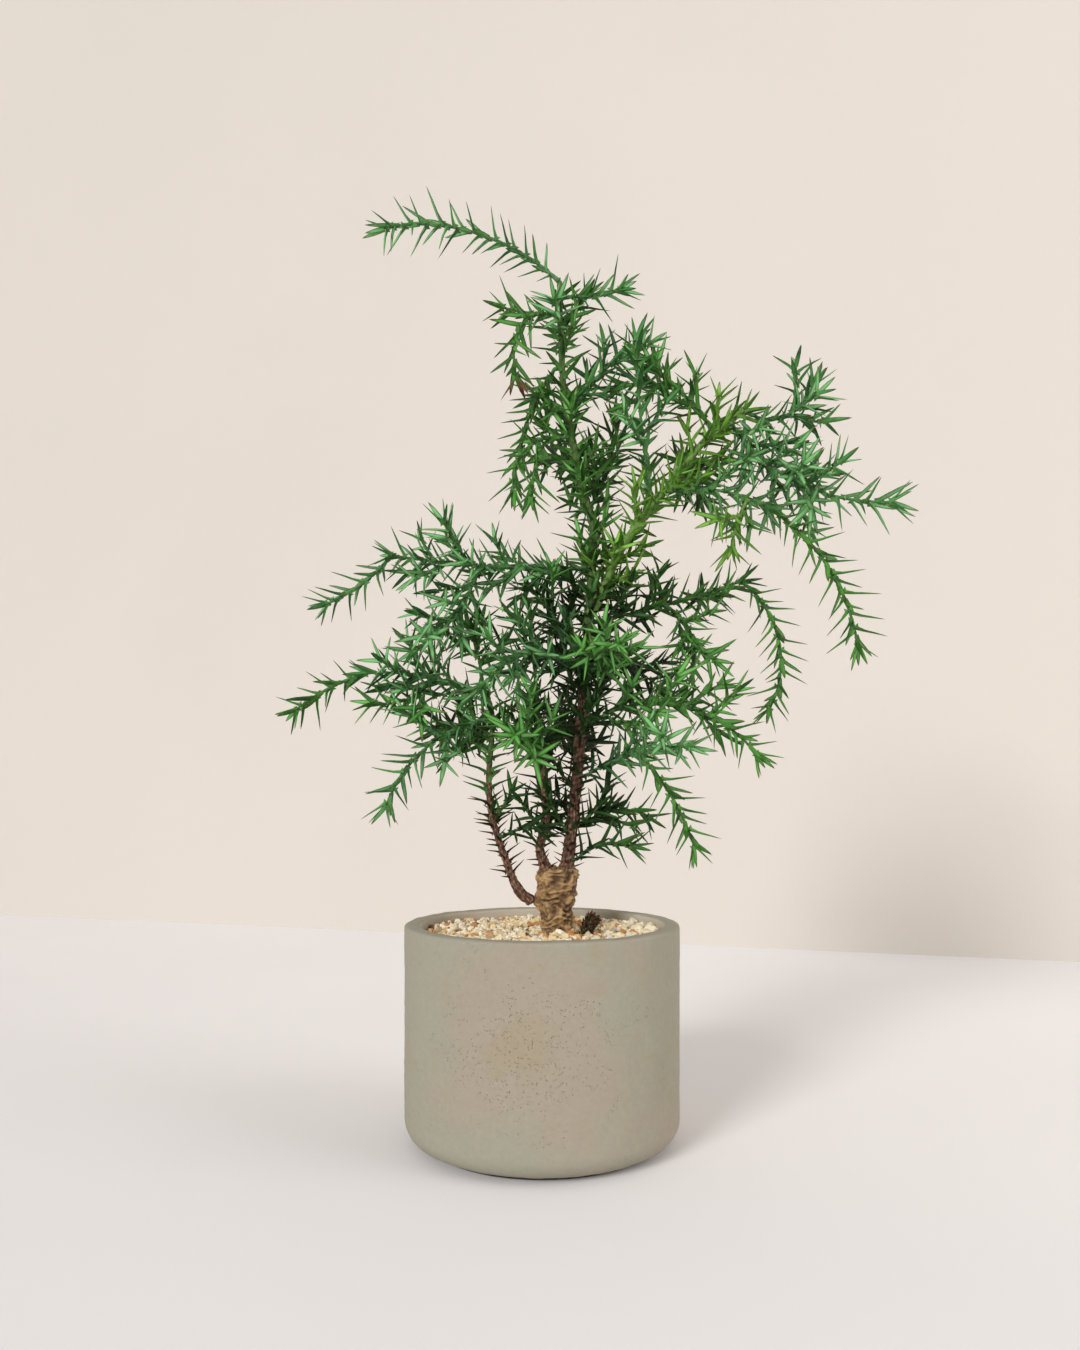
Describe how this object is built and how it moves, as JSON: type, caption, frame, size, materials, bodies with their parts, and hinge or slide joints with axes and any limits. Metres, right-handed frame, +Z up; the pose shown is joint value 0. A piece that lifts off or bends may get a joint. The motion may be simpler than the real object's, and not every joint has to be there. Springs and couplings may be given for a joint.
{
  "type": "artificial tabletop tree",
  "caption": "Artificial potted conifer for a table: bare forked stems with spiky needled branches that bend where they leave their stems, set in gravel in a round concrete-look pot.",
  "frame": {"origin": "on the table under the middle of the pot, on the underside of the felt pad", "axes": "+Z up along the pot's axis, -Y towards the viewer, +X to the viewer's right, where the forked stem leans"},
  "size_m": [0.2811, 0.1328, 0.4418],
  "materials": {
    "concrete": "matte",
    "felt": "matte",
    "plaster": "matte",
    "foam": "matte",
    "gravel": "matte",
    "stump_bark": "matte",
    "dead_wood": "matte",
    "stem_bark": "matte",
    "fork_green": "satin",
    "foliage_green": "satin",
    "foliage_blue": "satin",
    "foliage_deep": "satin",
    "steel_wire": "satin"
  },
  "bodies": {
    "root": {"outer_pot": "concrete", "base_pad": "felt", "ballast": "plaster", "foam_disc": "foam", "gravel_bed": "gravel", "trunk_base": "stump_bark", "dead_stub": "dead_wood", "wire_leader": "steel_wire", "wire_left": "steel_wire", "wire_middle": "steel_wire", "leader": "stem_bark", "left_stem": "stem_bark", "middle_stem": "stem_bark", "fork_stem": "fork_green", "sprig_crown_right": "foliage_blue", "sprig_crown_front": "foliage_blue", "sprig_brown": "foliage_green", "sprig_low": "foliage_deep", "sprig_lowest": "foliage_deep", "sprig_left_top": "foliage_green", "sprig_left_inner": "foliage_deep", "sprig_middle_top": "foliage_green", "sprig_middle_left": "foliage_green"},
    "branch_crown_left": {"branch_crown_left": "foliage_blue"},
    "branch_crown_droop": {"branch_crown_droop": "foliage_green"},
    "branch_upper_left": {"branch_upper_left": "foliage_green"},
    "branch_waist_left": {"branch_waist_left": "foliage_green", "sprig_waist_left": "foliage_green"},
    "branch_upper_right": {"branch_upper_right": "foliage_blue"},
    "branch_rear_up": {"branch_rear_up": "foliage_deep"},
    "branch_rear_high": {"branch_rear_high": "foliage_deep"},
    "branch_fork_up": {"branch_fork_up": "foliage_blue"},
    "branch_fork_arch": {"branch_fork_arch": "foliage_green"},
    "branch_fork_tip": {"branch_fork_tip": "foliage_blue"},
    "branch_fork_right": {"branch_fork_right": "foliage_blue"},
    "branch_fork_low": {"branch_fork_low": "foliage_blue", "sprig_fork_low_tip": "foliage_green", "sprig_fork_low": "fork_green"},
    "branch_fork_rear": {"branch_fork_rear": "foliage_deep"},
    "branch_mid_right": {"branch_mid_right": "foliage_deep", "sprig_mid_right_tip": "foliage_green", "sprig_mid_right": "foliage_green"},
    "branch_rear_mid": {"branch_rear_mid": "foliage_deep"},
    "branch_arm_left": {"branch_arm_left": "foliage_blue", "sprig_arm_left_tip": "foliage_blue", "sprig_arm_left": "foliage_blue", "sprig_arm_left_up": "foliage_blue"},
    "branch_front_left": {"branch_front_left": "foliage_blue"},
    "branch_front_mid": {"branch_front_mid": "foliage_green"},
    "branch_low_right": {"branch_low_right": "foliage_green"},
    "branch_low_front": {"branch_low_front": "foliage_blue", "sprig_low_front": "foliage_green"},
    "branch_rear_low": {"branch_rear_low": "foliage_deep"},
    "branch_left_arm": {"branch_left_arm": "foliage_blue", "sprig_left_arm_tip": "foliage_green", "sprig_left_arm": "foliage_green"},
    "branch_left_low": {"branch_left_low": "foliage_blue"},
    "branch_left_rear": {"branch_left_rear": "foliage_deep"},
    "branch_front_low": {"branch_front_low": "foliage_green"}
  },
  "joints": [
    {"name": "bend_crown_left", "type": "hinge", "parent": "root", "child": "branch_crown_left", "pos_m": [0.00601, -0.00026, 0.4154], "axis": [-0.1045, 0.9945, 0], "range_deg": [-20, 25]},
    {"name": "bend_crown_droop", "type": "hinge", "parent": "root", "child": "branch_crown_droop", "pos_m": [0.00574, -0.00158, 0.39716], "axis": [-0.4695, 0.8829, 0], "range_deg": [-20, 25]},
    {"name": "bend_upper_left", "type": "hinge", "parent": "root", "child": "branch_upper_left", "pos_m": [0.00629, 0.00081, 0.37149], "axis": [0.2588, 0.9659, 0], "range_deg": [-20, 25]},
    {"name": "bend_waist_left", "type": "hinge", "parent": "root", "child": "branch_waist_left", "pos_m": [0.01077, 0.00001, 0.33817], "axis": [-0.1736, 0.9848, 0], "range_deg": [-20, 25]},
    {"name": "bend_upper_right", "type": "hinge", "parent": "root", "child": "branch_upper_right", "pos_m": [0.01451, 0.00089, 0.3558], "axis": [0.2588, -0.9659, 0], "range_deg": [-20, 25]},
    {"name": "bend_rear_up", "type": "hinge", "parent": "root", "child": "branch_rear_up", "pos_m": [0.02428, 0.00521, 0.30742], "axis": [0.8829, -0.4695, 0], "range_deg": [-20, 25]},
    {"name": "bend_rear_high", "type": "hinge", "parent": "root", "child": "branch_rear_high", "pos_m": [0.01664, 0.00535, 0.32413], "axis": [0.9397, 0.342, 0], "range_deg": [-20, 25]},
    {"name": "bend_fork_up", "type": "hinge", "parent": "root", "child": "branch_fork_up", "pos_m": [0.05183, -0.00957, 0.30812], "axis": [-0.788, 0.6157, 0], "range_deg": [-20, 25]},
    {"name": "bend_fork_arch", "type": "hinge", "parent": "root", "child": "branch_fork_arch", "pos_m": [0.07915, -0.00833, 0.34101], "axis": [0.1736, 0.9848, 0], "range_deg": [-20, 25]},
    {"name": "bend_fork_tip", "type": "hinge", "parent": "root", "child": "branch_fork_tip", "pos_m": [0.09901, -0.008, 0.34656], "axis": [0, -1, 0], "range_deg": [-20, 25]},
    {"name": "bend_fork_right", "type": "hinge", "parent": "root", "child": "branch_fork_right", "pos_m": [0.08994, -0.00899, 0.34152], "axis": [-0.5299, -0.848, 0], "range_deg": [-20, 25]},
    {"name": "bend_fork_low", "type": "hinge", "parent": "root", "child": "branch_fork_low", "pos_m": [0.06156, -0.01126, 0.3091], "axis": [-0.5592, -0.829, 0], "range_deg": [-20, 25]},
    {"name": "bend_fork_rear", "type": "hinge", "parent": "root", "child": "branch_fork_rear", "pos_m": [0.06988, -0.00546, 0.32375], "axis": [0.9659, -0.2588, 0], "range_deg": [-20, 25]},
    {"name": "bend_mid_right", "type": "hinge", "parent": "root", "child": "branch_mid_right", "pos_m": [0.02644, 0.00265, 0.24995], "axis": [0.4226, -0.9063, 0], "range_deg": [-20, 25]},
    {"name": "bend_rear_mid", "type": "hinge", "parent": "root", "child": "branch_rear_mid", "pos_m": [0.02361, 0.00421, 0.23389], "axis": [0.848, -0.5299, 0], "range_deg": [-20, 25]},
    {"name": "bend_arm_left", "type": "hinge", "parent": "root", "child": "branch_arm_left", "pos_m": [0.01999, 0.00132, 0.27551], "axis": [-0.1045, 0.9945, 0], "range_deg": [-20, 25]},
    {"name": "bend_front_left", "type": "hinge", "parent": "root", "child": "branch_front_left", "pos_m": [0.01722, -0.00278, 0.226], "axis": [-0.6691, 0.7431, 0], "range_deg": [-20, 25]},
    {"name": "bend_front_mid", "type": "hinge", "parent": "root", "child": "branch_front_mid", "pos_m": [0.02095, -0.00449, 0.21734], "axis": [-0.9659, -0.2588, 0], "range_deg": [-20, 25]},
    {"name": "bend_low_right", "type": "hinge", "parent": "root", "child": "branch_low_right", "pos_m": [0.02256, -0.00322, 0.19959], "axis": [-0.5592, -0.829, 0], "range_deg": [-20, 25]},
    {"name": "bend_low_front", "type": "hinge", "parent": "root", "child": "branch_low_front", "pos_m": [0.02071, -0.00412, 0.17503], "axis": [-0.6157, -0.788, 0], "range_deg": [-20, 25]},
    {"name": "bend_rear_low", "type": "hinge", "parent": "root", "child": "branch_rear_low", "pos_m": [0.0172, 0.00398, 0.19086], "axis": [0.9848, 0.1736, 0], "range_deg": [-20, 25]},
    {"name": "bend_left_arm", "type": "hinge", "parent": "root", "child": "branch_left_arm", "pos_m": [-0.02993, -0.00086, 0.21204], "axis": [0, 1, 0], "range_deg": [-20, 25]},
    {"name": "bend_left_low", "type": "hinge", "parent": "root", "child": "branch_left_low", "pos_m": [-0.02748, -0.00275, 0.20182], "axis": [-0.342, 0.9397, 0], "range_deg": [-20, 25]},
    {"name": "bend_left_rear", "type": "hinge", "parent": "root", "child": "branch_left_rear", "pos_m": [-0.02688, 0.00077, 0.18893], "axis": [0.8191, 0.5736, 0], "range_deg": [-20, 25]},
    {"name": "bend_front_low", "type": "hinge", "parent": "root", "child": "branch_front_low", "pos_m": [-0.0008, -0.00881, 0.18227], "axis": [-0.9659, 0.2588, 0], "range_deg": [-20, 25]}
  ]
}
